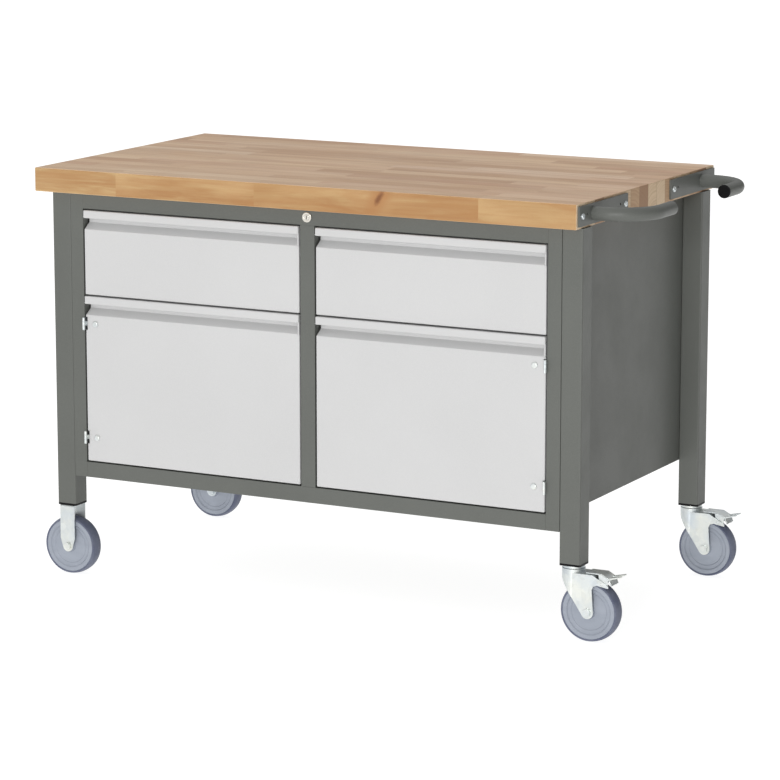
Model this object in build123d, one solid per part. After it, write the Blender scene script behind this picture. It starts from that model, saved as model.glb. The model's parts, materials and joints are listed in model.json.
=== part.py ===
from build123d import *
from math import cos, radians, sin
import os

# Mobile workbench: beech top, sheet-steel cabinet on four tube legs, two drawers over two
# doors, a cylinder lock, two push handles and four castors. All sizes are in millimetres.
# While it is built, x runs from the worktop's left end, y from its front edge, z from the floor.

# Worktop
TOP_LENGTH = 1250.0
TOP_DEPTH = 700.0
TOP_THICKNESS = 50.0
TOP_HEIGHT = 880.0
TOP_EDGE_RADIUS = 2.0
TOP_UNDERSIDE = TOP_HEIGHT - TOP_THICKNESS

# Legs: square tube, standing in from the worktop's edges, and level with the handle plates
LEG = 45.0
LEG_WALL = 2.0
LEG_CORNER = 3.0
LEG_FOOT = 157.0
LEGS_LEFT = 27.5
LEGS_RIGHT = TOP_LENGTH + 4.0
LEGS_FRONT = 24.0
LEGS_REAR = TOP_DEPTH - LEGS_FRONT
PLUG_FLANGE = 4.5
PLUG_DEPTH = 25.0

# Cabinet between the legs
SHEET = 1.5
CAB_LEFT = LEGS_LEFT + LEG
CAB_RIGHT = LEGS_RIGHT - LEG
CAB_MIDDLE = (CAB_LEFT + CAB_RIGHT) / 2
CAB_REAR = LEGS_REAR
APRON_BOTTOM = 220.0
FLOOR_TOP = 253.0
OPENING_TOP = 796.5
STILE = 30.0
POST = 33.0
RETURN_DEPTH = 22.0
TOP_FLANGE = 30.0
FLANGE_Y = (62.0, 660.0)
FLANGE_SCREW_YS = (150, 350, 550)
SCREW_RADIUS = 3.0
FRAME_BACK = LEGS_FRONT + RETURN_DEPTH
PARTITION_FRONT = 58.0

# The two bays, each as its left and right side
BAY_LEFT = (CAB_LEFT + STILE, CAB_MIDDLE - POST / 2)
BAY_RIGHT = (CAB_MIDDLE + POST / 2, CAB_RIGHT - STILE)

# Drawer and door fronts: a folded pan with a grip groove under a proud lip
FRONT_GAP = 3.0
FRONT_DEPTH = 24.0
LIP_PROUD = 4.0
LIP_HEIGHT = 16.5
GROOVE_DEPTH = 19.0
GROOVE_BAND = 11.0
GROOVE_SLOPE = 13.0
GROOVE_STOP = 3.5
FRONT_BACK = LEGS_FRONT + FRONT_DEPTH
DRAWER_FRONT_Z = (614.0, OPENING_TOP - FRONT_GAP)
DOOR_Z = (FLOOR_TOP + FRONT_GAP, 611.0)

# Drawer trays and telescopic slides
TRAY_SHEET = 1.2
TRAY_Z = (628.0, 768.0)
TRAY_REAR = 618.0
SLIDE_T = 1.2
SLIDE_Z = 690.0
SLIDE_ROOM = 12.8
SLIDE_FRONT = 60.0
OUTER_REAR = 610.0
MIDDLE_REAR = 594.0
INNER_REAR = 608.0

# Cross rails behind the gap between drawer and door, with the door magnets under them
CROSS_Z = (596.0, 620.0)
CROSS_Y = (50.0, 74.0)
MAGNET = (40.0, 16.0, 12.0)
MAGNET_GAP = 0.8
MAGNET_INSET = 26.0

# Hinges: a barrel standing in front of the gap at each door's outer side
HINGE_HEIGHTS = (307.0, 552.0)
HINGE_AXIS_Y = LEGS_FRONT - 6.0
BARREL_RADIUS = 3.0
BARREL_END = 1.2
BARREL_HEIGHT = 27.0
BARREL_SPLIT = 4.8
BARREL_GAP = 0.3
HINGE_PIN_RADIUS = 1.5
RUNNING_GAP = 0.05
LEAF = 1.0
DOOR_LEAF = 2.0
NOTCH_WIDTH = 4.5
NOTCH_HEIGHT = 28.0
NOTCH_DEPTH = 12.0
DOOR_BOLT_INSET = 24.0
DOOR_LEAF_LENGTH = 36.0

# Lock and locking bar
LOCK_Z = 813.0
LOCK_FLANGE_RADIUS = 10.4
LOCK_BARREL_RADIUS = 9.0
LOCK_PROUD = 3.0
LOCK_PLUG_RADIUS = 6.0
LOCK_TAIL_RADIUS = 2.4
BAR_LIFT = 12.0
CRANK_ANGLE = 45.0
CRANK_PIN_RADIUS = 1.5
BAR_Y = (49.5, 52.0)
BAR_X = (CAB_MIDDLE + 3.0, CAB_MIDDLE + 14.5)
BAR_Z = (500.0, 811.0)
BAR_PLAY = 0.6
TONGUE_HALF = 27.0
TONGUE_HEIGHT = 12.0
TONGUE_BOTTOMS = (516.0, 716.0)
HOOK_Y = (40.0, 56.0)
HOOK_WIDTH = 8.0
HOOK_ABOVE_TONGUE = 2.0
HOOK_HEIGHT = 19.0
HOOK_ARM = 3.0
HOOK_LIP = 2.0
GUIDE_HEIGHTS = (560.0, 770.0)

# Push handles on the worktop's right end
PLATE_THICKNESS = 4.0
PLATE_HEIGHT = 40.0
PLATE_START = 6.0
PLATE_END = 240.0
PLATE_SCREW_INSET = 14.0
PLATE_HOLE_INSET = 37.0
PLATE_HOLE_RADIUS = 2.75
HANDLE_RADIUS = 14.0
HANDLE_WALL = 2.0
HANDLE_ROOT = 74.0
HANDLE_TIP = 212.0
HANDLE_REACH = 110.0
HANDLE_BEND = 80.0
HANDLE_Z = TOP_HEIGHT - TOP_THICKNESS / 2
CAP_THICKNESS = 2.5

# Castors
WHEEL_RADIUS = 62.5
AXLE_RADIUS = 5.0
HUB_HALF = 18.5
FORK_GAP = 20.0
FORK_SHEET = 2.5
FORK_HALF = FORK_GAP + FORK_SHEET
TRAIL = 39.0
STEM_RADIUS = 6.0
STEM_TOP = LEG_FOOT + 22.0
FORK_TOP = 140.0
RACE_RADIUS = 23.5
RACE_TOP = 146.9
HEAD_BOTTOM = 147.2
BRAKE_PIVOT = (70.0, 123.5)
BRAKE_PIN_RADIUS = 3.0
BRAKE_HALF = 17.0

# The saved origin is on the floor, at the middle of the whole object's outline
LEFT_AXLE_X = LEGS_LEFT + LEG / 2
RIGHT_SWIVEL_X = LEGS_RIGHT - LEG / 2
FRONT_CASTOR_Y = LEGS_FRONT + LEG / 2
REAR_CASTOR_Y = LEGS_REAR - LEG / 2
HANDLE_OUTSIDE = TOP_LENGTH + HANDLE_REACH + HANDLE_RADIUS
ORIGIN_X = (LEFT_AXLE_X - WHEEL_RADIUS + HANDLE_OUTSIDE) / 2
ORIGIN_Y = TOP_DEPTH / 2


def block(x0, x1, y0, y1, z0, z1):
    """A rectangular block between two opposite corners."""
    size = Box(abs(x1 - x0), abs(y1 - y0), abs(z1 - z0))
    return Pos((x0 + x1) / 2, (y0 + y1) / 2, (z0 + z1) / 2) * size


def bar(radius, start, direction, length):
    """A round bar that starts at a point and runs along a direction."""
    return Plane(origin=start, z_dir=direction) * Pos(0, 0, length / 2) * Cylinder(radius, length)


def hexagon(across_corners, start, direction, length):
    """A hexagonal bar, such as a bolt's head."""
    face = Plane(origin=start, z_dir=direction) * RegularPolygon(across_corners / 2, 6)
    return extrude(face, amount=length, dir=direction)


def drawn_out(outline, plane, length):
    """A flat outline of points on a plane, drawn out along the plane's normal."""
    return extrude(plane * Polygon(*outline, align=None), amount=length, dir=plane.z_dir)


def side_step(points, gap):
    """The same folded line moved sideways by gap, with its corners kept sharp."""
    corners = [Vector(*p) for p in points]
    runs = [(b - a).normalized() for a, b in zip(corners, corners[1:])]
    normals = [Vector(-r.Y, r.X) for r in runs]
    normals = [normals[0], *normals, normals[-1]]
    moved = []
    for corner, n, m in zip(corners, normals, normals[1:]):
        moved.append(corner + (n + m) * (gap / (1 + n.dot(m))))
    return [(p.X, p.Y) for p in moved]


def turned(face, centre):
    """A section in radius and width, turned round the wheel's axle."""
    return Pos(*centre) * revolve(face, axis=Axis.Y)


def mirrored(shape, x=None, y=None):
    """The shape seen in a mirror that stands at x or at y."""
    plane = Plane.YZ.offset(x) if x is not None else Plane.XZ.offset(-y)
    return mirror(shape, about=plane)


def save(name, *shapes):
    """Writes one sub-part, moved so that the origin is under the object's middle."""
    moved = [Pos(-ORIGIN_X, -ORIGIN_Y, 0) * s for s in shapes]
    solids = [solid for m in moved for solid in m.solids()]
    whole = solids[0] if len(solids) == 1 else Compound(children=solids)
    export_step(whole, f"parts/{name}.step")


# Worktop and its fasteners


def flange_screws():
    """Hexagon-head wood screws, up through the cabinet's top flanges into the worktop."""
    screws = []
    for x in (CAB_LEFT + SHEET + 16, CAB_RIGHT - SHEET - 16):
        for y in FLANGE_SCREW_YS:
            head = hexagon(13, (x, y, TOP_UNDERSIDE - SHEET - 5), (0, 0, 1), 5)
            shank = bar(SCREW_RADIUS, (x, y, TOP_UNDERSIDE - SHEET), (0, 0, 1), 32)
            screws.append(head + shank)
    return screws


def plate_screw_ys():
    """Where each handle plate's screws are along the worktop's end: front pair, then rear."""
    front = [PLATE_START + PLATE_SCREW_INSET, PLATE_END - PLATE_SCREW_INSET]
    return front + [TOP_DEPTH - y for y in front]


def handle_screws():
    """Pan-head screws through the handle plates."""
    screws = []
    for y in plate_screw_ys():
        face = (TOP_LENGTH + PLATE_THICKNESS, y, HANDLE_Z)
        head = fillet(bar(6, face, (1, 0, 0), 3.6).edges().group_by(Axis.X)[-1], 2.2)
        driver = hexagon(4.6, (face[0] + 1.6, y, HANDLE_Z), (1, 0, 0), 3)
        shank = bar(SCREW_RADIUS, face, (-1, 0, 0), 44)
        screws.append(head - driver + shank)
    return screws


def worktop():
    """The laminated block, with pilot holes for the screws."""
    top = block(0, TOP_LENGTH, 0, TOP_DEPTH, TOP_UNDERSIDE, TOP_HEIGHT)
    top = fillet(top.edges(), TOP_EDGE_RADIUS)
    for screw in flange_screws() + handle_screws():
        top -= screw
    return top


# Legs and leg plugs


def leg(x, y):
    """One square tube with a cover welded into its upper end, given its centre."""
    height = TOP_UNDERSIDE - LEG_FOOT
    bore_side = LEG - 2 * LEG_WALL
    tube = extrude(RectangleRounded(LEG, LEG, LEG_CORNER), amount=height)
    bore = RectangleRounded(bore_side, bore_side, LEG_CORNER - LEG_WALL)
    tube -= extrude(bore, amount=height - LEG_WALL)
    return Pos(x, y, LEG_FOOT) * tube


def leg_plug(x, y):
    """A plastic plug with a flange, bored for the castor's stem."""
    inside = LEG - 2 * LEG_WALL - 0.2
    flange = extrude(RectangleRounded(LEG, LEG, LEG_CORNER), amount=PLUG_FLANGE)
    body = Pos(0, 0, PLUG_FLANGE) * extrude(RectangleRounded(inside, inside, 1), amount=PLUG_DEPTH)
    stem = bar(STEM_RADIUS, (0, 0, 0), (0, 0, 1), STEM_TOP - LEG_FOOT + PLUG_FLANGE)
    return Pos(x, y, LEG_FOOT - PLUG_FLANGE) * (flange + body - stem)


# Cabinet


def stile(x0, x1):
    """An upright of the cabinet's front: a face with two returns."""
    face = block(x0, x1, LEGS_FRONT, LEGS_FRONT + SHEET, APRON_BOTTOM, TOP_UNDERSIDE)
    left = block(x0, x0 + SHEET, LEGS_FRONT, FRAME_BACK, APRON_BOTTOM, TOP_UNDERSIDE)
    right = block(x1 - SHEET, x1, LEGS_FRONT, FRAME_BACK, APRON_BOTTOM, TOP_UNDERSIDE)
    return face + left + right


def rail(z0, z1, upper_depth):
    """A cross member of the cabinet's front, between the stiles."""
    x0, x1 = BAY_LEFT[0], BAY_RIGHT[1]
    face = block(x0, x1, LEGS_FRONT, LEGS_FRONT + SHEET, z0, z1)
    lower = block(x0, x1, LEGS_FRONT, FRAME_BACK, z0, z0 + SHEET)
    upper = block(x0, x1, LEGS_FRONT, LEGS_FRONT + upper_depth, z1 - SHEET, z1)
    return face + lower + upper


def top_rail():
    """The upper cross member, with the lock's hole and a flange under the worktop."""
    hole = bar(LOCK_BARREL_RADIUS, (CAB_MIDDLE, LEGS_FRONT - 1, LOCK_Z), (0, 1, 0), SHEET + 2)
    return rail(OPENING_TOP, TOP_UNDERSIDE, RETURN_DEPTH + 12) - hole


def centre_post():
    """The post between the bays, with two straps that guide the locking bar."""
    x0, x1 = BAY_LEFT[1], BAY_RIGHT[0]
    face = block(x0, x1, LEGS_FRONT, LEGS_FRONT + SHEET, FLOOR_TOP, OPENING_TOP)
    left = block(x0, x0 + SHEET, LEGS_FRONT, FRAME_BACK, FLOOR_TOP, OPENING_TOP)
    right = block(x1 - SHEET, x1, LEGS_FRONT, FRAME_BACK, FLOOR_TOP, OPENING_TOP)
    post = face + left + right
    room = BAR_Y[1] + BAR_PLAY
    for z in GUIDE_HEIGHTS:
        strap = block(x0, x1, FRAME_BACK - SHEET, room + SHEET, z, z + 15)
        strap -= block(x0 + SHEET, x1 - SHEET, 0, room, z - 1, z + 16)
        post += strap
    return post


def side_panel(wall_x, inward):
    """A side wall with a flange under the worktop; inward is +1 or -1 along x."""
    rear = CAB_REAR - SHEET
    wall = block(wall_x, wall_x + inward * SHEET, FRAME_BACK, rear, FLOOR_TOP - SHEET, TOP_UNDERSIDE)
    flange_edge = wall_x + inward * (SHEET + TOP_FLANGE)
    panel = wall + block(wall_x, flange_edge, *FLANGE_Y, TOP_UNDERSIDE - SHEET, TOP_UNDERSIDE)
    for screw in flange_screws():
        panel -= screw
    return panel


def back_panel():
    """The rear wall, down to the cabinet's floor, with a flange under the worktop."""
    bottom = FLOOR_TOP - SHEET
    wall = block(CAB_LEFT, CAB_RIGHT, CAB_REAR - SHEET, CAB_REAR, bottom, TOP_UNDERSIDE)
    x0, x1 = BAY_LEFT[0] + 5, BAY_RIGHT[1] - 5
    upper = block(x0, x1, CAB_REAR - TOP_FLANGE, CAB_REAR, TOP_UNDERSIDE - SHEET, TOP_UNDERSIDE)
    return wall + upper


def floor_panel():
    """The cabinet's floor."""
    x0, x1 = CAB_LEFT + SHEET, CAB_RIGHT - SHEET
    return block(x0, x1, FRAME_BACK, CAB_REAR - SHEET, FLOOR_TOP - SHEET, FLOOR_TOP)


def centre_partition():
    """The double wall between the bays, which carries the inner pair of slides."""
    x0, x1 = BAY_LEFT[1], BAY_RIGHT[0]
    y0, y1, z1 = PARTITION_FRONT, CAB_REAR - SHEET, TOP_UNDERSIDE - 2
    walls = block(x0, x1, y0, y1, FLOOR_TOP, z1)
    hollow = block(x0 + SHEET, x1 - SHEET, y0 + SHEET, y1 + 1, FLOOR_TOP - 1, z1 - SHEET)
    return walls - hollow


def cross_rail(bay):
    """A folded rail behind the gap between drawer and door."""
    z0, z1 = CROSS_Z
    y0, y1 = CROSS_Y
    hollow = block(bay[0] - 1, bay[1] + 1, y0 + SHEET, y1 + 1, z0 + SHEET, z1 - SHEET)
    return block(*bay, y0, y1, z0, z1) - hollow


def door_magnet(bay, free_side):
    """A magnet block that holds a closed door, near the door's free edge."""
    length, depth, height = MAGNET
    x = bay[1] - MAGNET_INSET if free_side > 0 else bay[0] + MAGNET_INSET
    y = LEGS_FRONT + GROOVE_DEPTH + SHEET + MAGNET_GAP
    return block(x, x - free_side * length, y, y + depth, CROSS_Z[0] - height, CROSS_Z[0])


# Handles


def handle_path():
    """The tube's centre line: straight out of the plate, one bend, then along the end."""
    turn_x = TOP_LENGTH + HANDLE_REACH - HANDLE_BEND
    far_x = TOP_LENGTH + HANDLE_REACH
    out = Line((TOP_LENGTH + PLATE_THICKNESS, HANDLE_ROOT), (turn_x, HANDLE_ROOT))
    bend_end = (far_x, HANDLE_ROOT + HANDLE_BEND)
    bend = TangentArc((turn_x, HANDLE_ROOT), bend_end, tangent=(1, 0))
    return out + bend + Line(bend_end, (far_x, HANDLE_TIP))


def handle():
    """The front handle: a bent tube welded to its plate."""
    path = handle_path()
    start = Plane(origin=path @ 0, z_dir=path % 0)
    tube = sweep(start * Circle(HANDLE_RADIUS), path=path)
    tube -= sweep(start * Circle(HANDLE_RADIUS - HANDLE_WALL), path=path)
    plate = block(
        TOP_LENGTH, TOP_LENGTH + PLATE_THICKNESS, PLATE_START, PLATE_END,
        HANDLE_Z - PLATE_HEIGHT / 2, HANDLE_Z + PLATE_HEIGHT / 2,
    )
    through = PLATE_THICKNESS + 2
    for y in (PLATE_START + PLATE_HOLE_INSET, PLATE_END - PLATE_HOLE_INSET):
        plate -= bar(PLATE_HOLE_RADIUS, (TOP_LENGTH - 1, y, HANDLE_Z + 2), (1, 0, 0), through)
    for y in plate_screw_ys():
        plate -= bar(SCREW_RADIUS, (TOP_LENGTH - 1, y, HANDLE_Z), (1, 0, 0), through)
    return plate + Pos(0, 0, HANDLE_Z) * tube


def handle_cap():
    """The plug in the front handle's open end."""
    tip = (TOP_LENGTH + HANDLE_REACH, HANDLE_TIP, HANDLE_Z)
    disc = fillet(bar(HANDLE_RADIUS, tip, (0, 1, 0), CAP_THICKNESS).edges().group_by(Axis.Y)[-1], 1.2)
    return disc + bar(HANDLE_RADIUS - HANDLE_WALL - 0.05, tip, (0, -1, 0), 14)


# Drawer and door fronts


def front_outline(z0, z1):
    """The folded front from its lower rear edge, round the face, groove and lip, in y and z."""
    face, groove, lip = LEGS_FRONT, LEGS_FRONT + GROOVE_DEPTH, LEGS_FRONT - LIP_PROUD
    lip_z = z1 - LIP_HEIGHT
    return [
        (FRONT_BACK, z0), (face, z0), (face, lip_z - GROOVE_BAND - GROOVE_SLOPE),
        (groove, lip_z - GROOVE_BAND), (groove, lip_z), (lip, lip_z), (lip, z1), (FRONT_BACK, z1),
    ]


def groove_stop(x1, z1):
    """The block that closes the groove at a front's right end, flush with the face."""
    face, groove = LEGS_FRONT, LEGS_FRONT + GROOVE_DEPTH
    top = z1 - LIP_HEIGHT
    bend = top - GROOVE_BAND
    outline = [(face, bend - GROOVE_SLOPE), (groove, bend), (groove, top), (face, top)]
    return drawn_out(outline, Plane.YZ.offset(x1 - GROOVE_STOP), GROOVE_STOP)


def front_pan(bay, z0, z1):
    """A front folded from sheet, open behind, with a flange at each end."""
    x0, x1 = bay[0] + FRONT_GAP, bay[1] - FRONT_GAP
    outside = front_outline(z0, z1)
    inside = side_step(outside, -SHEET)
    pan = drawn_out(outside + inside[::-1], Plane.YZ.offset(x0), x1 - x0)
    pan += drawn_out(outside, Plane.YZ.offset(x0), SHEET)
    pan += drawn_out(outside, Plane.YZ.offset(x1 - SHEET), SHEET)
    return pan + groove_stop(x1, z1)


def lock_hook(bay, free_side, tongue_bottom):
    """The hook behind a front's end that the locking bar's tongue rises into."""
    x1 = bay[1] - FRONT_GAP - SHEET if free_side > 0 else bay[0] + FRONT_GAP + SHEET
    x0 = x1 - free_side * HOOK_WIDTH
    z0 = tongue_bottom + TONGUE_HEIGHT + HOOK_ABOVE_TONGUE
    z1 = z0 + HOOK_HEIGHT
    arm = block(x0, x1, *HOOK_Y, z1 - HOOK_ARM, z1)
    return arm + block(x0, x1, HOOK_Y[1] - HOOK_LIP, HOOK_Y[1], z0, z1)


def drawer_front(bay, free_side):
    """A drawer's front with its lock hook."""
    return front_pan(bay, *DRAWER_FRONT_Z) + lock_hook(bay, free_side, TONGUE_BOTTOMS[1])


def drawer_tray(bay):
    """The drawer's open-topped box behind its front."""
    x0, x1 = bay[0] + SLIDE_ROOM, bay[1] - SLIDE_ROOM
    z0, z1 = TRAY_Z
    outside = block(x0, x1, FRONT_BACK, TRAY_REAR, z0, z1)
    t = TRAY_SHEET
    return outside - block(x0 + t, x1 - t, FRONT_BACK + t, TRAY_REAR - t, z0 + t, z1 + 1)


def door(bay, free_side):
    """A door with its lock hook, notched at its hinge side behind the barrels."""
    panel = front_pan(bay, *DOOR_Z) + lock_hook(bay, free_side, TONGUE_BOTTOMS[0])
    edge = bay[0] + FRONT_GAP if free_side > 0 else bay[1] - FRONT_GAP
    near, far = edge - free_side, edge + free_side * NOTCH_WIDTH
    back = LEGS_FRONT + NOTCH_DEPTH
    half = NOTCH_HEIGHT / 2
    for z in HINGE_HEIGHTS:
        panel -= block(near, far, LEGS_FRONT - 1, back, z - half, z + half)
        bolt_x = edge + free_side * DOOR_BOLT_INSET
        panel -= bar(SCREW_RADIUS, (bolt_x, LEGS_FRONT - 1, z), (0, 1, 0), SHEET + 2)
    return panel


# Slides


def slide_member(wall_x, side, web, tip, height, y0, y1):
    """A C-section: its web stands web from the wall and its flanges reach to tip."""
    into = SLIDE_T if tip > web else -SLIDE_T
    overrun = 1 if tip > web else -1
    z0, z1 = SLIDE_Z - height / 2, SLIDE_Z + height / 2
    whole = block(wall_x + side * web, wall_x + side * tip, y0, y1, z0, z1)
    inner = wall_x + side * (web + into)
    open_side = wall_x + side * (tip + overrun)
    return whole - block(inner, open_side, y0 - 1, y1 + 1, z0 + SLIDE_T, z1 - SLIDE_T)


def outer_slide(wall_x, side, spacer):
    """The member fixed to the cabinet, with a spacer bracket where the wall is further out."""
    member = slide_member(wall_x, side, 0, 10, 45, SLIDE_FRONT, OUTER_REAR)
    if spacer:
        member += slide_member(wall_x, -side, 0, STILE - SHEET, 45, SLIDE_FRONT + 2, OUTER_REAR)
    return member


def middle_slides(bay):
    """The two members that travel half as far as the drawer."""
    ends = ((bay[0], 1), (bay[1], -1))
    return [slide_member(x, side, 3.2, 11.0, 39, SLIDE_FRONT, MIDDLE_REAR) for x, side in ends]


def inner_slides(bay):
    """The two members fixed to the drawer's tray."""
    ends = ((bay[0], 1), (bay[1], -1))
    return [slide_member(x, side, SLIDE_ROOM, 6.2, 32, SLIDE_FRONT, INNER_REAR) for x, side in ends]


# Hinges


def hinge_axis_x(bay, free_side):
    """The hinge axis stands in the middle of the gap at the door's hinge side."""
    return bay[0] + FRONT_GAP / 2 if free_side > 0 else bay[1] - FRONT_GAP / 2


def frame_leaf(bay, free_side, z):
    """The leaf welded to the stile, with the barrel's two outer knuckles."""
    axis_x = hinge_axis_x(bay, free_side)
    wall = bay[0] if free_side > 0 else bay[1]
    half = BARREL_HEIGHT / 2
    barrel = bar(BARREL_RADIUS, (axis_x, HINGE_AXIS_Y, z - half), (0, 0, 1), BARREL_HEIGHT)
    barrel = fillet(barrel.edges().filter_by(GeomType.CIRCLE), BARREL_END)
    leaf = block(wall, wall + free_side * LEAF, HINGE_AXIS_Y, FRAME_BACK - 2, z - half, z + half)
    split = BARREL_SPLIT
    room = block(axis_x - 6, axis_x + 6, HINGE_AXIS_Y - 6, HINGE_AXIS_Y + 5, z - split, z + split)
    pin_hole = bar(HINGE_PIN_RADIUS, (axis_x, HINGE_AXIS_Y, z - half - 1), (0, 0, 1), BARREL_HEIGHT + 2)
    return barrel + leaf - room - pin_hole


def hinge_pin(bay, free_side, z):
    """The pin through one hinge's barrel."""
    start = (hinge_axis_x(bay, free_side), HINGE_AXIS_Y, z - BARREL_HEIGHT / 2)
    return bar(HINGE_PIN_RADIUS, start, (0, 0, 1), BARREL_HEIGHT)


def door_leaf(bay, free_side, z):
    """The leaf bolted inside the door's face, with the barrel's middle knuckle."""
    axis_x = hinge_axis_x(bay, free_side)
    edge = bay[0] + FRONT_GAP if free_side > 0 else bay[1] - FRONT_GAP
    split = BARREL_SPLIT - BARREL_GAP
    y0 = LEGS_FRONT + SHEET
    y1 = y0 + DOOR_LEAF
    neck_x = edge - free_side * 0.3
    neck_end = neck_x - free_side * LEAF
    neck = block(neck_x, neck_end, HINGE_AXIS_Y, y1, z - split, z + split)
    near, far = edge + free_side * NOTCH_WIDTH, edge + free_side * DOOR_LEAF_LENGTH
    bridge = block(neck_end, near + free_side, y0, y1, z - split, z + split)
    half = BARREL_HEIGHT / 2 - 1
    inside = block(near, far, y0, y1, z - half, z + half)
    barrel = bar(BARREL_RADIUS, (axis_x, HINGE_AXIS_Y, z - split), (0, 0, 1), 2 * split)
    bore = bar(HINGE_PIN_RADIUS + RUNNING_GAP, (axis_x, HINGE_AXIS_Y, z - 20), (0, 0, 1), 40)
    bolt = (edge + free_side * DOOR_BOLT_INSET, y0 - 1, z)
    bolt_hole = bar(SCREW_RADIUS, bolt, (0, 1, 0), DOOR_LEAF + 2)
    return barrel + neck + bridge + inside - bore - bolt_hole


def door_bolt(bay, free_side, z):
    """A mushroom-head bolt and its nut, through the door's face and leaf."""
    edge = bay[0] + FRONT_GAP if free_side > 0 else bay[1] - FRONT_GAP
    x = edge + free_side * DOOR_BOLT_INSET
    head = bar(6.7, (x, LEGS_FRONT, z), (0, -1, 0), 2.8)
    head = fillet(head.edges().group_by(Axis.Y)[0], 2.2)
    shank = bar(SCREW_RADIUS, (x, LEGS_FRONT, z), (0, 1, 0), 12)
    nut = hexagon(11, (x, LEGS_FRONT + SHEET + DOOR_LEAF, z), (0, 1, 0), 5)
    return head + shank + nut


# Lock


def lock_housing():
    """The lock's body in the top rail."""
    face = (CAB_MIDDLE, LEGS_FRONT, LOCK_Z)
    flange = bar(LOCK_FLANGE_RADIUS, face, (0, -1, 0), LOCK_PROUD)
    flange = fillet(flange.edges().group_by(Axis.Y)[0], 1)
    barrel = bar(LOCK_BARREL_RADIUS, face, (0, 1, 0), 22)
    bore = bar(LOCK_PLUG_RADIUS + RUNNING_GAP, (CAB_MIDDLE, 0, LOCK_Z), (0, 1, 0), 100)
    return flange + barrel - bore


def lock_plug():
    """The part that the key turns, with an upright keyway."""
    front = LEGS_FRONT - LOCK_PROUD - 0.4
    core = bar(LOCK_PLUG_RADIUS, (CAB_MIDDLE, front, LOCK_Z), (0, 1, 0), 27)
    core = fillet(core.edges().group_by(Axis.Y)[0], 0.5)
    tail_end = BAR_Y[1] + BAR_PLAY
    tail = bar(LOCK_TAIL_RADIUS, (CAB_MIDDLE, front + 27, LOCK_Z), (0, 1, 0), tail_end - front - 27)
    keyway = block(CAB_MIDDLE - 0.9, CAB_MIDDLE + 0.9, front - 1, front + 14, LOCK_Z - 4, LOCK_Z + 4)
    return core + tail - keyway


def crank_length():
    """A quarter turn, from 45 degrees below level to 45 above, lifts the bar by BAR_LIFT."""
    return BAR_LIFT / 2 / sin(radians(CRANK_ANGLE))


def lock_cam():
    """The crank behind the plug, whose pin lifts the locking bar."""
    y0 = BAR_Y[1] + BAR_PLAY
    reach = crank_length()
    arm = block(0, reach, y0, y0 + 2, -3, 3) + bar(3, (reach, y0, 0), (0, 1, 0), 2)
    hub = bar(5, (0, y0, 0), (0, 1, 0), 2)
    pin = bar(CRANK_PIN_RADIUS, (reach, BAR_Y[0] - 0.3, 0), (0, 1, 0), y0 - BAR_Y[0] + 0.3)
    return Pos(CAB_MIDDLE, 0, LOCK_Z) * Rot(0, CRANK_ANGLE, 0) * (arm + hub + pin)


def locking_bar():
    """The bar that rises when the lock turns, with a tongue each side for drawers and doors."""
    strip = block(*BAR_X, *BAR_Y, *BAR_Z)
    for z in TONGUE_BOTTOMS:
        strip += block(CAB_MIDDLE - TONGUE_HALF, CAB_MIDDLE + TONGUE_HALF, *BAR_Y, z, z + TONGUE_HEIGHT)
    near = CAB_MIDDLE + crank_length() * cos(radians(CRANK_ANGLE)) - CRANK_PIN_RADIUS - 0.3
    far = CAB_MIDDLE + crank_length() + CRANK_PIN_RADIUS + 0.3
    pin_z = LOCK_Z - BAR_LIFT / 2
    half = CRANK_PIN_RADIUS + BAR_PLAY
    return strip - block(near, far, 0, 100, pin_z - half, pin_z + half)


# Castors


def fixed_fork(x, y):
    """A straight-sided fork with its welded stem."""
    sides = [(17.7, FORK_GAP), (17.7, 80), (11.8, 60), (-11.8, 60), (-17.7, 80), (-17.7, FORK_GAP)]
    top = LEG_FOOT - PLUG_FLANGE
    outline = [(px, top if pz == FORK_GAP else pz) for px, pz in sides]
    body = drawn_out(outline, Plane.XZ.offset(-FORK_HALF), 2 * FORK_HALF)
    body += bar(12, (0, -FORK_HALF, WHEEL_RADIUS), (0, 1, 0), 2 * FORK_HALF)
    body = fillet(body.edges().filter_by(Axis.X).group_by(Axis.Z)[-1], 4)
    body -= block(-30, 30, -FORK_GAP, FORK_GAP, 0, top - FORK_SHEET)
    body -= bar(AXLE_RADIUS, (0, -50, WHEEL_RADIUS), (0, 1, 0), 100)
    body += bar(STEM_RADIUS, (0, 0, top - 1), (0, 0, 1), STEM_TOP - top + 1)
    return Pos(x, y, 0) * body


def swivel_outline():
    """The swivel fork's side view, in x from the swivel axis and z."""
    return [
        (-RACE_RADIUS, FORK_TOP), (50, FORK_TOP), (84, 121), (84, 116), (60, 120), (52, 117), (48.5, 110),
        (51.9, 64), (45, 52), (33, 51), (27.3, 57), (-RACE_RADIUS, 133),
    ]


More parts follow.
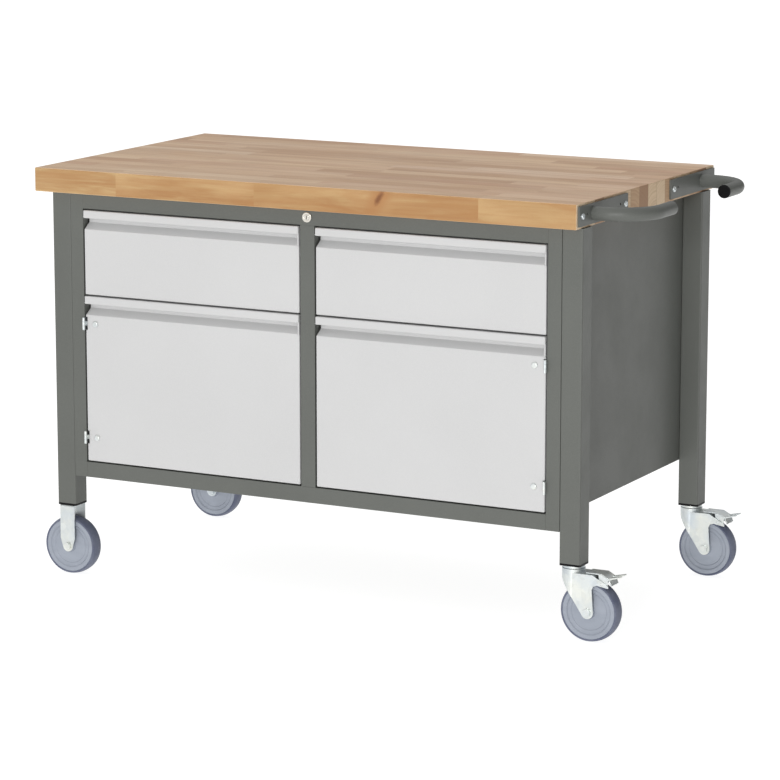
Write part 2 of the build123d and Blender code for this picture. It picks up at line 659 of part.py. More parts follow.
def swivel_fork(x, y):
    """A domed fork whose arms trail behind the swivel axis, with the lower ball race."""
    sides = drawn_out(swivel_outline(), Plane.XZ.offset(-FORK_HALF - 5), 2 * FORK_HALF + 10)
    sides += bar(13, (TRAIL, -FORK_HALF - 5, WHEEL_RADIUS), (0, 1, 0), 2 * FORK_HALF + 10)
    plan = bar(RACE_RADIUS, (0, 0, 0), (0, 0, 1), FORK_TOP)
    plan += block(0, 90, -FORK_HALF, FORK_HALF, 0, FORK_TOP)
    roof = FORK_TOP - 3
    cavity = bar(RACE_RADIUS - FORK_SHEET, (0, 0, -1), (0, 0, 1), roof + 1)
    cavity += block(0, 91, -FORK_GAP, FORK_GAP, -1, roof)
    cavity += block(55, 91, -FORK_GAP, FORK_GAP, 90, FORK_TOP + 1)
    fork = (sides & plan) - cavity
    fork += bar(RACE_RADIUS, (0, 0, FORK_TOP), (0, 0, 1), RACE_TOP - FORK_TOP)
    fork -= bar(STEM_RADIUS + RUNNING_GAP, (0, 0, 100), (0, 0, 1), 60)
    fork -= bar(AXLE_RADIUS, (TRAIL, -50, WHEEL_RADIUS), (0, 1, 0), 100)
    pivot = (BRAKE_PIVOT[0], -50, BRAKE_PIVOT[1])
    fork -= bar(BRAKE_PIN_RADIUS + RUNNING_GAP, pivot, (0, 1, 0), 100)
    return Pos(x, y, 0) * fork


def swivel_head(x, y):
    """The upper ball race with its stem above and its riveted king pin below."""
    ring = bar(LEG / 2, (0, 0, HEAD_BOTTOM), (0, 0, 1), LEG_FOOT - PLUG_FLANGE - HEAD_BOTTOM)
    ring = fillet(ring.edges().group_by(Axis.Z)[0], 1.5)
    pin = bar(STEM_RADIUS, (0, 0, 133.2), (0, 0, 1), STEM_TOP - 133.2)
    rivet = bar(10, (0, 0, 133.2), (0, 0, 1), 3.4)
    return Pos(x, y, 0) * (ring + pin + rivet)


def axle(x, y):
    """An axle bolt with its hexagon head and nut."""
    shank = bar(AXLE_RADIUS, (0, -FORK_HALF, 0), (0, 1, 0), 2 * FORK_HALF)
    head = hexagon(17, (0, -FORK_HALF - 5, 0), (0, 1, 0), 5)
    nut = hexagon(17, (0, FORK_HALF, 0), (0, 1, 0), 6)
    return Pos(x, y, WHEEL_RADIUS) * (shank + head + nut)


def rim(x, y):
    """The wheel's plastic centre: hub, dished web and raised outer ring."""
    bore = AXLE_RADIUS + RUNNING_GAP
    near = [
        (bore, HUB_HALF), (13, HUB_HALF), (15, 12), (38, 10.5), (40, 12), (46.5, 12), (48.5, 15),
        (55, 15), (56.5, 14),
    ]
    far = [(r, -w) for r, w in reversed(near)]
    return turned(Polygon(*near, *far, align=None), (x, y, WHEEL_RADIUS))


def tyre(x, y):
    """The crowned rubber tyre."""
    seat, shoulder, half = 56.5, 60.2, 16.0
    near = [(shoulder, half - 0.6), (58.5, half), (seat, half - 1.2)]
    flanks = Polyline(*near, *[(r, -w) for r, w in reversed(near)])
    tread = ThreePointArc((shoulder, 0.6 - half), (WHEEL_RADIUS, 0), (shoulder, half - 0.6))
    return turned(make_face(flanks + tread), (x, y, WHEEL_RADIUS))


def brake_pedal(x, y):
    """A bent pedal over the fork's end, with two tabs, side ears and its pivot pin."""
    top = [(34, 143.5), (68, 143.5), (84, 135), (90, 121)]
    under = side_step(top, -2.5)
    wide = Plane.XZ.offset(-BRAKE_HALF)
    pedal = drawn_out(top + under[::-1], wide, 2 * BRAKE_HALF)
    ear = [(62, 142), (69, 142), (83, 134), (81, 118), (72, 118.5), (64, 123)]
    tab = [(82, 135.8), (108, 141.5), (108, 139), (84, 132.5)]
    for side in (-1, 1):
        edge = side * BRAKE_HALF
        pedal += drawn_out(ear, Plane.XZ.offset(max(-edge, 2.5 - edge) - 2.5), 2.5)
        middle = side * 11.5
        pedal += drawn_out(tab, Plane.XZ.offset(-middle - 4.5), 9)
    pivot = (BRAKE_PIVOT[0], -FORK_HALF + 0.5, BRAKE_PIVOT[1])
    pedal += bar(BRAKE_PIN_RADIUS, pivot, (0, 1, 0), 2 * FORK_HALF - 1)
    return Pos(x, y, 0) * pedal


def main():
    os.makedirs("parts", exist_ok=True)
    leg_xs = (LEFT_AXLE_X, RIGHT_SWIVEL_X)
    castor_ys = {"front": FRONT_CASTOR_Y, "rear": REAR_CASTOR_Y}
    sides = {"left": (BAY_LEFT, 1), "right": (BAY_RIGHT, -1)}

    save("worktop", worktop())
    save("worktop_screws", *flange_screws())
    for end, y in castor_ys.items():
        save(f"leg_{end}_left", leg(leg_xs[0], y))
        save(f"leg_{end}_right", leg(leg_xs[1], y))
    save("leg_plugs", *[leg_plug(x, y) for x in leg_xs for y in castor_ys.values()])

    save("top_rail", top_rail())
    save("bottom_rail", rail(APRON_BOTTOM, FLOOR_TOP, RETURN_DEPTH))
    save("stile_left", stile(CAB_LEFT, BAY_LEFT[0]))
    save("stile_right", stile(BAY_RIGHT[1], CAB_RIGHT))
    save("centre_post", centre_post())
    save("side_panel_left", side_panel(CAB_LEFT, 1))
    save("side_panel_right", side_panel(CAB_RIGHT, -1))
    save("back_panel", back_panel())
    save("floor_panel", floor_panel())
    save("centre_partition", centre_partition())
    save("cross_rails", cross_rail(BAY_LEFT), cross_rail(BAY_RIGHT))
    save("door_magnets", *[door_magnet(*side) for side in sides.values()])

    middle_y = TOP_DEPTH / 2
    save("handle_front", handle())
    save("handle_rear", mirrored(handle(), y=middle_y))
    save("handle_caps", handle_cap(), mirrored(handle_cap(), y=middle_y))
    save("handle_screws", *handle_screws())

    outer = [outer_slide(BAY_LEFT[0], 1, True), outer_slide(BAY_LEFT[1], -1, False)]
    outer += [outer_slide(BAY_RIGHT[0], 1, False), outer_slide(BAY_RIGHT[1], -1, True)]
    save("slides_outer", *outer)
    hinges = [(*side, z) for side in sides.values() for z in HINGE_HEIGHTS]
    save("hinge_frame_leaves", *[piece(*h) for h in hinges for piece in (frame_leaf, hinge_pin)])
    for name, (bay, free_side) in sides.items():
        save(f"drawer_front_{name}", drawer_front(bay, free_side))
        save(f"drawer_tray_{name}", drawer_tray(bay))
        save(f"slides_inner_{name}", *inner_slides(bay))
        save(f"slides_middle_{name}", *middle_slides(bay))
        save(f"door_{name}", door(bay, free_side))
        leaves = [door_leaf(bay, free_side, z) for z in HINGE_HEIGHTS]
        save(f"door_hinge_leaves_{name}", *leaves)
        save(f"door_bolts_{name}", *[door_bolt(bay, free_side, z) for z in HINGE_HEIGHTS])

    save("lock_housing", lock_housing())
    save("lock_plug", lock_plug())
    save("lock_cam", lock_cam())
    save("locking_bar", locking_bar())

    save("fixed_forks", *[fixed_fork(LEFT_AXLE_X, y) for y in castor_ys.values()])
    save("fixed_axles", *[axle(LEFT_AXLE_X, y) for y in castor_ys.values()])
    save("swivel_heads", *[swivel_head(RIGHT_SWIVEL_X, y) for y in castor_ys.values()])
    for end, y in castor_ys.items():
        save(f"swivel_fork_{end}", swivel_fork(RIGHT_SWIVEL_X, y))
        save(f"swivel_axle_{end}", axle(RIGHT_SWIVEL_X + TRAIL, y))
        save(f"brake_pedal_{end}", brake_pedal(RIGHT_SWIVEL_X, y))
        for side, x in (("left", LEFT_AXLE_X), ("right", RIGHT_SWIVEL_X + TRAIL)):
            save(f"rim_{end}_{side}", rim(x, y))
            save(f"tyre_{end}_{side}", tyre(x, y))


main()
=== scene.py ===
import json
import math

import bmesh
import bpy
import numpy as np
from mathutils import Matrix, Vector

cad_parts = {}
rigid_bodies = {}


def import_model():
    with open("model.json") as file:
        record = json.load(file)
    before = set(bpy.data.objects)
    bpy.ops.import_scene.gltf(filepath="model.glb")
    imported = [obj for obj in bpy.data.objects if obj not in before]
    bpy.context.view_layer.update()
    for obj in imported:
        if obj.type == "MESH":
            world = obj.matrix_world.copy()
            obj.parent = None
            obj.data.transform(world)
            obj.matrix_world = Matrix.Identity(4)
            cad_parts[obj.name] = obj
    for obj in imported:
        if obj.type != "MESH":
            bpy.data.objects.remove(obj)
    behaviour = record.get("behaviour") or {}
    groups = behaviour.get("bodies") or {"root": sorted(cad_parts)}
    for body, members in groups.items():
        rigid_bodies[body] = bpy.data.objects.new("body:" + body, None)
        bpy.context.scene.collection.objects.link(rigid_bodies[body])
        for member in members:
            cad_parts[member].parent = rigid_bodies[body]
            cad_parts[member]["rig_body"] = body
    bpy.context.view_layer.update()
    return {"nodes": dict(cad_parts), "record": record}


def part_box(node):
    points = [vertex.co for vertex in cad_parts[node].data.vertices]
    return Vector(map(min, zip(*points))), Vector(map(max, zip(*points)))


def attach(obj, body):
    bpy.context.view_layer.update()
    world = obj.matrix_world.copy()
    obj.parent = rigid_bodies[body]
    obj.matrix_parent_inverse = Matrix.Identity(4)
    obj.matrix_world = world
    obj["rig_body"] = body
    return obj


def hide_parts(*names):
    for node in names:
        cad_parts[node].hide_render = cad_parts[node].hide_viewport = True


# A mobile workbench: beech top, grey sheet-steel cabinet with light fronts, two push handles,
# fixed castors on the left and braked swivel castors on the right. Everything is in metres.

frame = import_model()
NODES = frame["nodes"]
MM = 0.001

# Fronts, folded from sheet
SHEET = 1.5 * MM
BEND = 2.2 * MM
LIP_PROUD = 4.0 * MM
LIP_HEIGHT = 16.5 * MM
GROOVE_DEPTH = 19.0 * MM
GROOVE_BAND = 11.0 * MM
GROOVE_SLOPE = 13.0 * MM
FRONT_DEPTH = 24.0 * MM
GROOVE_STOP = 3.5 * MM
HINGE_HEIGHTS = (307.0 * MM, 552.0 * MM)
NOTCH_WIDTH = 4.5 * MM
NOTCH_HEIGHT = 28.0 * MM
NOTCH_DEPTH = 12.0 * MM

# Worktop
STAVE_WIDTH = 43.75 * MM
STAVE_LENGTH = 420 * MM
KNOT_FROM_LEFT = 818 * MM
KNOT_BELOW_TOP = 14 * MM

# Locking bar's tongues, above the bar's lower end, and the hooks they rise into
DOOR_TONGUE = 28 * MM
DRAWER_TONGUE = 228 * MM
HOOK_REACH = 8 * MM
HOOK_DEPTH = 16 * MM

# Wheels: points of (radius, half width) and the radii of the bends between them, in millimetres
TURNS = 128
RIM_HALF = [
    (5.05, 18.5), (12.5, 18.5), (14.5, 13.0), (37.5, 10.6), (39.5, 12.2),
    (45.8, 12.4), (48.3, 15.2), (55.2, 15.2), (56.4, 14.4),
]
RIM_BENDS = [1.2, 2.0, 1.2, 0.8, 1.4, 1.6, 0.5]
RIM_SEAT_BEND = 0.01
TREAD_RADIUS = 62.4
TREAD_CROWN = 2.1
TREAD_HALF_WIDTH = 14.4
TYRE_FLANK = [(59.2, 15.9), (57.7, 15.5), (57.2, 14.6), (56.45, 14.2)]

# Widths of the rounded edges
FRAME_EDGE = 0.6 * MM
CASTOR_EDGE = 0.7 * MM
FITTING_EDGE = 0.4 * MM
HOOK_EDGE = 0.25 * MM
STOP_EDGE = 1.2 * MM

# Camera, floor and light
CAMERA_PLACE = (3.2771, -6.3190, 1.7805)
CAMERA_YAW = -0.481
CAMERA_PITCH = 0.191
CAMERA_LENS = 157.3
FLOOR_HALF = 60.0
FLOOR_GLOW = 0.86
WALL_LIGHT = 0.26
OVERHEAD_LIGHT = 1.08
RIGHT_SIDE_SHARE = 0.3
KEY_PLACE = (1.9, -8.5, 1.9)
KEY_AIM = (0.2, 0, 0.45)
KEY_SIZE = (2.6, 2.0)
KEY_POWER = 390


# Shapes


def add_piece(name, points, faces, body, finish, replaced=(), sharp=35):
    """A mesh piece from points and faces that rides on a body. Its shading breaks at sharp degrees."""
    mesh = bpy.data.meshes.new(name)
    mesh.from_pydata(np.asarray(points, float).tolist(), [], [list(map(int, f)) for f in faces])
    mesh.update()
    return set_up(name, mesh, body, finish, replaced, sharp)


def set_up(name, mesh, body, finish, replaced=(), sharp=35):
    """Links a finished mesh, gives it its material, says what it rides on and hides the CAD parts it stands
    for.
    """
    mesh.shade_smooth()
    mesh.set_sharp_from_angle(angle=math.radians(sharp))
    piece = bpy.data.objects.new(name, mesh)
    bpy.context.scene.collection.objects.link(piece)
    mesh.materials.append(FINISHES[finish])
    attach(piece, body)
    if replaced:
        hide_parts(*replaced)
    return piece


def grid_faces(rows, columns, close_rows=False, close_columns=False):
    """The quads of a grid of rows by columns, which may close on itself either way."""
    r = np.arange(rows if close_rows else rows - 1)
    c = np.arange(columns if close_columns else columns - 1)
    r, c = np.meshgrid(r, c, indexing="ij")
    up, across = (r + 1) % rows, (c + 1) % columns
    corners = [r * columns + c, up * columns + c, up * columns + across, r * columns + across]
    return np.stack(corners, axis=-1).reshape(-1, 4)


def rounded_line(corners, radii, steps=5):
    """Straight runs between corners, where each inner corner becomes an arc tangent to its two runs."""
    corners = np.asarray(corners, float)
    points = [corners[:1]]
    t = np.linspace(0, 1, steps + 1)[:, None]
    for before, corner, after, radius in zip(corners, corners[1:], corners[2:], radii):
        a = (before - corner) / np.linalg.norm(before - corner)
        b = (after - corner) / np.linalg.norm(after - corner)
        half = math.acos(np.clip(a @ b, -1, 1)) / 2
        centre = corner + (a + b) / np.linalg.norm(a + b) * radius / math.sin(half)
        start = corner + a * radius / math.tan(half) - centre
        end = corner + b * radius / math.tan(half) - centre
        turn = math.pi - 2 * half
        points.append(centre + (np.sin((1 - t) * turn) * start + np.sin(t * turn) * end) / math.sin(turn))
    points.append(corners[-1:])
    return np.concatenate(points)


def inward(line):
    """For each point of an open line, the move that carries the line one unit to its right, mitred."""
    run = np.diff(line, axis=0)
    run /= np.linalg.norm(run, axis=1)[:, None]
    right = np.stack([run[:, 1], -run[:, 0]], axis=1)
    before = np.concatenate([right[:1], right])
    after = np.concatenate([right, right[-1:]])
    return (before + after) / (1 + (before * after).sum(axis=1))[:, None]


def turned(name, profile, centre, body, finish, replaced=(), sharp=35):
    """A closed profile of (radius, width) points, turned once round a wheel's axle along Y."""
    angle = np.linspace(0, 2 * math.pi, TURNS, endpoint=False)[:, None]
    radius, width = np.asarray(profile, float).T
    x = centre[0] + np.cos(angle) * radius
    z = centre[2] + np.sin(angle) * radius
    y = centre[1] + np.broadcast_to(width, x.shape)
    points = np.stack([x, y, z], axis=-1).reshape(-1, 3)
    faces = grid_faces(TURNS, len(profile), close_rows=True, close_columns=True)
    return add_piece(name, points, faces, body, finish, replaced, sharp)


def finish_edges(piece, width, segments=2):
    """Rounds the sharp edges of a piece by width and evens its shading."""
    bevel = piece.modifiers.new("rounded_edges", "BEVEL")
    bevel.width = width
    bevel.segments = segments
    bevel.limit_method = "ANGLE"
    bevel.angle_limit = math.radians(35)
    even = piece.modifiers.new("even_shading", "WEIGHTED_NORMAL")
    even.keep_sharp = True
    return piece


def softened(node, width, segments=2):
    """A CAD node again, with corners merged, flat faces whole and sharp edges rounded by width."""
    source = NODES[node]
    shape = bmesh.new()
    shape.from_mesh(source.data)
    bmesh.ops.remove_doubles(shape, verts=shape.verts, dist=1e-6)
    flat = math.radians(0.5)
    bmesh.ops.dissolve_limit(shape, angle_limit=flat, verts=shape.verts, edges=shape.edges)
    mesh = bpy.data.meshes.new(node + "_finished")
    shape.to_mesh(mesh)
    shape.free()
    piece = set_up(node + "_finished", mesh, source["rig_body"], SLOT_OF[node], [node], sharp=180)
    return finish_edges(piece, width, segments)


# Materials


class Recipe:
    """The nodes of one material, added one after another onto a Principled surface."""

    def __init__(self, name):
        self.material = bpy.data.materials.new(name)
        self.material.use_nodes = True
        self.tree = self.material.node_tree
        self.surface = self.tree.nodes["Principled BSDF"]
        self.place = self.add("ShaderNodeTexCoord").outputs["Object"]

    def add(self, kind, values=(), **settings):
        """A node with some settings, whose inputs are linked to sockets or set to plain values."""
        node = self.tree.nodes.new(kind)
        for key, value in settings.items():
            setattr(node, key, value)
        for key, value in dict(values).items():
            self.feed(node.inputs[key], value)
        return node

    def feed(self, socket, value):
        """Links a socket into an input, or sets the input."""
        if isinstance(value, bpy.types.NodeSocket):
            self.tree.links.new(value, socket)
        else:
            socket.default_value = value

    def sum(self, operation, a, b=0.0, c=0.0):
        """One arithmetic step on numbers."""
        return self.add("ShaderNodeMath", {0: a, 1: b, 2: c}, operation=operation).outputs[0]

    def vector_sum(self, a, b):
        """Two vectors added."""
        return self.add("ShaderNodeVectorMath", {0: a, 1: b}, operation="ADD").outputs[0]

    def length(self, x, y, z):
        """How long the vector of three numbers is."""
        vector = self.join(x, y, z)
        return self.add("ShaderNodeVectorMath", {0: vector}, operation="LENGTH").outputs["Value"]

    def split(self, vector):
        """The three numbers of a vector."""
        return list(self.add("ShaderNodeSeparateXYZ", {0: vector}).outputs)

    def join(self, x, y, z):
        """A vector from three numbers."""
        return self.add("ShaderNodeCombineXYZ", {0: x, 1: y, 2: z}).outputs[0]

    def stretched(self, scale, where=None):
        """The place, multiplied along each axis."""
        where = self.place if where is None else where
        return self.add("ShaderNodeVectorMath", {0: where, 1: scale}, operation="MULTIPLY").outputs[0]

    def noise(self, scale, detail=3.0, where=None, roughness=0.55, distortion=0.0):
        """Cloudy noise between 0 and 1."""
        values = {"Scale": scale, "Detail": detail, "Roughness": roughness, "Distortion": distortion}
        values["Vector"] = self.place if where is None else where
        return self.add("ShaderNodeTexNoise", values).outputs[0]

    def chance(self, vector):
        """Random numbers that are fixed for each whole-number vector: one value and one colour."""
        node = self.add("ShaderNodeTexWhiteNoise", {"Vector": vector}, noise_dimensions="3D")
        return node.outputs["Value"], node.outputs["Color"]

    def fit(self, value, low, high, to_low=0.0, to_high=1.0):
        """A number carried from one range to another and held within it."""
        values = {0: value, 1: low, 2: high, 3: to_low, 4: to_high}
        return self.add("ShaderNodeMapRange", values, clamp=True).outputs[0]

    def blend(self, share, a, b):
        """Two colours mixed by a share."""
        return self.add("ShaderNodeMix", {0: share, 6: a, 7: b}, data_type="RGBA").outputs[2]

    def ramp(self, value, *stops):
        """A colour from a number, through stops of (place, colour)."""
        node = self.add("ShaderNodeValToRGB", {0: value})
        elements = node.color_ramp.elements
        while len(elements) < len(stops):
            elements.new(0.5)
        for element, (place, colour) in zip(elements, stops):
            element.position = place
            element.color = colour
        return node.outputs[0]

    def relief(self, height, distance, strength=1.0, under=None):
        """Fine unevenness, given as a height between 0 and 1 and its real size."""
        values = {"Height": height, "Distance": distance, "Strength": strength}
        if under is not None:
            values["Normal"] = under
        return self.add("ShaderNodeBump", values).outputs[0]

    def done(self, **inputs):
        """Feeds the surface's inputs, named with underscores for spaces."""
        for key, value in inputs.items():
            self.feed(self.surface.inputs[key.replace("_", " ")], value)
        return self.material


def tint(red, green, blue):
    """A colour as a person picks it, from 0 to 255, in the linear values that shaders want."""
    value = np.array([red, green, blue]) / 255
    linear = np.where(value <= 0.04045, value / 12.92, ((value + 0.055) / 1.055) ** 2.4)
    return (*linear.tolist(), 1.0)


def stave_grid(r, low):
    """Staves along X: how far along and across each place is, the stave's own numbers and its row's."""
    x, y, _ = r.split(r.place)
    across = r.sum("DIVIDE", r.sum("SUBTRACT", y, low.y - 1e-4), STAVE_WIDTH)
    row = r.sum("FLOOR", across)
    row_value, row_colour = r.chance(r.join(row, 3.0, 5.0))
    start = r.sum("MULTIPLY_ADD", row_value, 9.0, r.sum("DIVIDE", x, STAVE_LENGTH))
    sway = r.sum("MULTIPLY", r.chance(r.join(row, r.sum("FLOOR", start), 8.0))[0], 0.3)
    along = r.sum("ADD", start, sway)
    tone, shifts = r.chance(r.join(row, r.sum("FLOOR", along), 1.0))
    return along, across, tone, shifts, row_value, row_colour


def knot_stain(r, colour, figure, low, high):
    """The knot in the front edge: a dark heart that leans, within a brown shadow drawn out below it."""
    x, y, z = r.split(r.place)
    near_front = r.fit(y, low.y + 4 * MM, low.y + 0.5 * MM)
    kx = r.sum("SUBTRACT", x, low.x + KNOT_FROM_LEFT)
    kz = r.sum("SUBTRACT", z, high.z - KNOT_BELOW_TOP)
    wobble = r.noise(60, 3)
    leaning = r.sum("MULTIPLY_ADD", kz, -0.5, kx)
    away = r.length(r.sum("MULTIPLY", leaning, 105.0), 0.0, r.sum("MULTIPLY", kz, 48.0))
    away = r.sum("ADD", away, r.sum("MULTIPLY", r.sum("SUBTRACT", wobble, 0.5), 0.9))
    shade = r.length(r.sum("MULTIPLY", leaning, 34.0), 0.0, r.sum("MULTIPLY", kz, 20.0))
    shade = r.sum("ADD", shade, r.sum("MULTIPLY", r.sum("SUBTRACT", figure, 0.5), 1.3))
    stain = r.sum("MULTIPLY", near_front, r.fit(shade, 1.0, 0.3, 0.0, 0.55))
    colour = r.blend(stain, colour, tint(158, 106, 60))
    heart_share = r.sum("MULTIPLY", near_front, r.fit(away, 0.95, 0.3, 0.0, 0.85))
    return r.blend(heart_share, colour, tint(112, 66, 36))


def end_grain(r, across, to_edge, row_value, row_colour):
    """Browner wood at both ends, with the arcs of the rings across each stave and open pores."""
    z = r.split(r.place)[2]
    rc = r.split(row_colour)
    ring_y = r.sum("SUBTRACT", r.sum("FRACT", across), r.sum("MULTIPLY_ADD", rc[0], 2.4, -0.7))
    ring_z = r.sum("SUBTRACT", r.sum("DIVIDE", z, STAVE_WIDTH), r.sum("MULTIPLY_ADD", rc[1], 2.0, 18.0))
    reach = r.length(ring_y, ring_z, 0.0)
    reach = r.sum("ADD", reach, r.sum("MULTIPLY", r.noise(40, 3), 0.12))
    arcs = r.noise(14.0, 2, r.join(reach, rc[2], 0.0), 0.7)
    stops = ((0.0, tint(138, 104, 78)), (0.3, tint(178, 148, 116)), (0.6, tint(206, 182, 150)))
    ends = r.ramp(row_value, *stops, (1.0, tint(226, 206, 176)))
    ends = r.blend(r.fit(arcs, 0.35, 0.65, 0.0, 0.4), ends, tint(142, 106, 78))
    ends = r.blend(r.fit(r.noise(2400, 1), 0.58, 0.7, 0.0, 0.3), ends, tint(110, 78, 54))
    return r.blend(r.sum("MULTIPLY", r.fit(to_edge, 0.46, 0.495), 0.4), ends, tint(120, 90, 66))


def oiled_beech():
    """Staves of beech along X, each with its own tone and figure, and a knot in the front edge; the front
    edge's golden colour is partly painted light.
    """
    low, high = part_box("worktop")
    r = Recipe("oiled_beech")
    along, across, tone, shifts, row_value, row_colour = stave_grid(r, low)

    # Each stave is cut from another part of the tree: its pattern starts elsewhere
    moved = r.vector_sum(r.place, r.stretched((3, 3, 3), shifts))
    bend = r.noise(2.2, 2, moved)
    mx, my, mz = r.split(moved)
    heart = r.sum("MULTIPLY_ADD", bend, 0.10, my)
    rings = r.join(r.sum("MULTIPLY", mx, 0.45), r.sum("MULTIPLY", heart, 16.0), r.sum("MULTIPLY", mz, 16.0))
    figure = r.noise(2.6, 5, rings, 0.6, 0.4)
    streaks = r.noise(1.0, 4, r.stretched((9, 620, 620), moved), 0.65)
    broad = r.noise(1.0, 3, r.stretched((3, 90, 90), moved), 0.6)
    flecks = r.fit(r.noise(1.0, 1, r.stretched((320, 2600, 2600), moved)), 0.60, 0.72)
    glow = r.noise(5.0, 2, r.stretched((1, 3, 3), moved))

    # The faces are a dusty tan and the front edge is golden, picked by which way each face points: partly
    # the edge grain, cut along the rings, and partly painted light for how the light falls on the front
    # edge
    normal = r.split(r.add("ShaderNodeNewGeometry").outputs["Normal"])
    front_grain_and_painted_light = r.fit(r.sum("ABSOLUTE", normal[1]), 0.6, 0.8)
    at_end = r.fit(r.sum("ABSOLUTE", normal[0]), 0.6, 0.8)
    stops = ((0.0, tint(196, 158, 122)), (0.4, tint(222, 188, 152)), (0.75, tint(229, 198, 162)))
    face = r.ramp(tone, *stops, (1.0, tint(240, 214, 184)))
    face = r.blend(r.fit(r.split(shifts)[1], 0.5, 1.0, 0.0, 0.5), face, tint(214, 172, 142))
    stops = ((0.0, tint(181, 146, 97)), (0.45, tint(192, 161, 110)), (1.0, tint(205, 178, 130)))
    # The front edge gets its own golden colours: partly its edge grain, partly painted light for how the
    # light falls on it
    colour = r.blend(front_grain_and_painted_light, face, r.ramp(tone, *stops))
    darker = r.blend(front_grain_and_painted_light, tint(180, 140, 106), tint(160, 108, 58))
    strength = r.sum("MULTIPLY_ADD", front_grain_and_painted_light, 0.3, 0.42)
    colour = r.blend(r.sum("MULTIPLY", r.fit(figure, 0.42, 0.62), strength), colour, darker)
    layers = r.join(r.sum("MULTIPLY", mx, 3.0), heart, r.sum("MULTIPLY", mz, 18.0))
    bands = r.fit(r.noise(2.2, 3, layers, 0.6, 1.2), 0.40, 0.62, 0.0, 0.5)
    colour = r.blend(r.sum("MULTIPLY", bands, front_grain_and_painted_light), colour, tint(170, 122, 70))
    colour = r.blend(r.fit(broad, 0.42, 0.7, 0.0, 0.35), colour, darker)
    colour = r.blend(r.fit(streaks, 0.35, 0.75, 0.0, 0.22), colour, tint(160, 116, 80))
    paler = r.blend(front_grain_and_painted_light, tint(240, 216, 186), tint(232, 200, 148))
    colour = r.blend(r.fit(glow, 0.45, 0.7, 0.0, 0.25), colour, paler)
    colour = r.blend(r.sum("MULTIPLY", flecks, 0.28), colour, tint(140, 94, 62))

    # Glue lines between the staves and butt joints at their ends
    to_edge = r.sum("ABSOLUTE", r.sum("SUBTRACT", r.sum("FRACT", across), 0.5))
    to_end = r.sum("ABSOLUTE", r.sum("SUBTRACT", r.sum("FRACT", along), 0.5))
    glue = r.sum("MAXIMUM", r.fit(to_edge, 0.488, 0.499), r.fit(to_end, 0.4988, 0.4998))
    colour = r.blend(r.sum("MULTIPLY", glue, 0.32), colour, tint(130, 92, 60))
    colour = knot_stain(r, colour, figure, low, high)
    colour = r.blend(at_end, colour, end_grain(r, across, to_edge, row_value, row_colour))

    rough = r.sum("MULTIPLY_ADD", at_end, 0.18, r.fit(r.noise(7.0, 3), 0.3, 0.7, 0.36, 0.48))
    rough = r.sum("MULTIPLY_ADD", flecks, 0.1, rough)
    relief = r.relief(streaks, 0.06 * MM, 0.5)
    relief = r.relief(r.sum("SUBTRACT", 1.0, glue), 0.12 * MM, 0.6, relief)
    return r.done(Base_Color=colour, Roughness=rough, Normal=relief, Specular_IOR_Level=0.4)


def powder_coat(name, base, lighter, darker, rough=0.46):
    """Satin powder coat: fine orange peel, faint clouds, specks of dust and polished handling marks."""
    r = Recipe(name)
    clouds = r.noise(3.2, 4)
    colour = r.blend(r.fit(clouds, 0.35, 0.65), darker, base)
    colour = r.blend(r.fit(r.noise(900, 1), 0.45, 0.62, 0.0, 0.35), colour, lighter)
    dust = r.fit(r.noise(1.0, 2, r.stretched((210, 210, 260))), 0.70, 0.76, 0.0, 0.12)
    colour = r.blend(dust, colour, lighter)
    peel = r.noise(620, 2, roughness=0.45)
    fine = r.noise(2600, 1)
    rubbed = r.fit(r.noise(9.0, 5, roughness=0.7), 0.4, 0.7)
    roughness = r.fit(rubbed, 0.0, 1.0, rough - 0.05, rough + 0.05)
    normal = r.relief(peel, 0.00010, 0.55)
    normal = r.relief(fine, 0.00002, 0.4, normal)
    return r.done(Base_Color=colour, Roughness=roughness, Normal=normal, Specular_IOR_Level=0.3)


def zinc_plate(name, base, cooler, rough=0.34, spangle=70.0):
    """Bright zinc: patches that passivated cooler or warmer, rolling lines and hazy spots on metal."""
    r = Recipe(name)
    cells = r.add("ShaderNodeTexVoronoi", {"Vector": r.place, "Scale": spangle}).outputs["Color"]
    patch = r.split(cells)[0]
    clouds = r.noise(24, 4)
    colour = r.blend(r.fit(clouds, 0.35, 0.65), base, cooler)
    colour = r.blend(r.sum("MULTIPLY", patch, 0.16), colour, tint(150, 156, 158))
    colour = r.blend(r.fit(r.noise(120, 3), 0.62, 0.75, 0.0, 0.25), colour, tint(176, 172, 150))
    lines = r.noise(1.0, 2, r.stretched((900, 900, 60)))
    hazy = r.fit(clouds, 0.3, 0.7, rough - 0.06, rough + 0.08)
    roughness = r.sum("ADD", hazy, r.sum("MULTIPLY", lines, 0.08))
    normal = r.relief(lines, 0.00002, 0.35)
    normal = r.relief(r.noise(260, 3), 0.00004, 0.3, normal)
    return r.done(Base_Color=colour, Roughness=roughness, Normal=normal, Metallic=0.85)


def moulded(name, base, second, rough, specular=0.5):
    """Moulded plastic or rubber: a fine eroded texture, faint flow marks and dusty patches."""
    r = Recipe(name)
    flow = r.noise(12, 4, r.stretched((1, 1, 2.5)), distortion=0.8)
    colour = r.blend(r.fit(flow, 0.38, 0.64), base, second)
    grain = r.noise(1400, 2)
    colour = r.blend(r.fit(grain, 0.5, 0.75, 0.0, 0.25), colour, second)
    roughness = r.fit(r.noise(35, 4), 0.3, 0.7, rough - 0.07, rough + 0.07)
    normal = r.relief(grain, 0.00004, 0.5)
    return r.done(Base_Color=colour, Roughness=roughness, Normal=normal, Specular_IOR_Level=specular)


